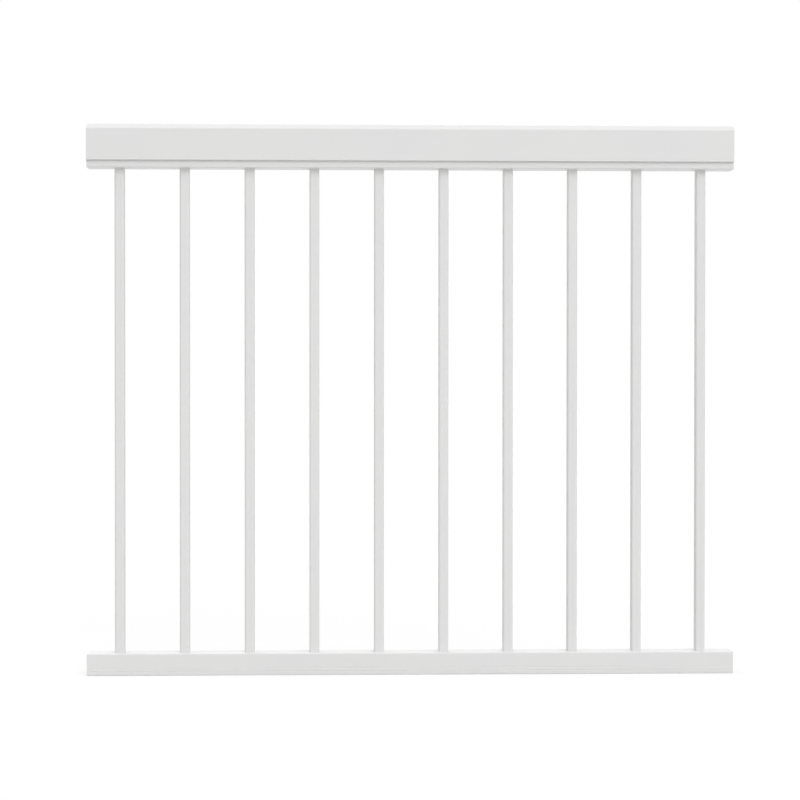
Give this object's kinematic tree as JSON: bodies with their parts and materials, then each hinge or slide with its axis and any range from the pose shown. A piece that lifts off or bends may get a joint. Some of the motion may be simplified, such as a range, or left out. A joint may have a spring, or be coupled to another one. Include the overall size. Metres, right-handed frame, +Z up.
{
  "type": "aluminium railing section",
  "caption": "Straight railing section for a deck or balcony: clip-fit cap rail over a baluster channel, square balusters and a channel bottom rail, white powder coat.",
  "frame": {"origin": "left end plane of the rails, on the middle plane, at mid-thickness of the bottom rail's upper web", "axes": "+X along the rails to the right end, +Y to the back, +Z up along the balusters"},
  "size_m": [1.1733, 0.0508, 0.9966],
  "materials": {
    "white_powder_coat": "satin",
    "stainless_steel": "tumbled"
  },
  "bodies": {
    "root": {"bottom_rail": "white_powder_coat", "baluster_channel": "white_powder_coat", "top_rail": "white_powder_coat", "baluster_01": "white_powder_coat", "baluster_02": "white_powder_coat", "baluster_03": "white_powder_coat", "baluster_04": "white_powder_coat", "baluster_05": "white_powder_coat", "baluster_06": "white_powder_coat", "baluster_07": "white_powder_coat", "baluster_08": "white_powder_coat", "baluster_09": "white_powder_coat", "baluster_10": "white_powder_coat"}
  },
  "joints": []
}
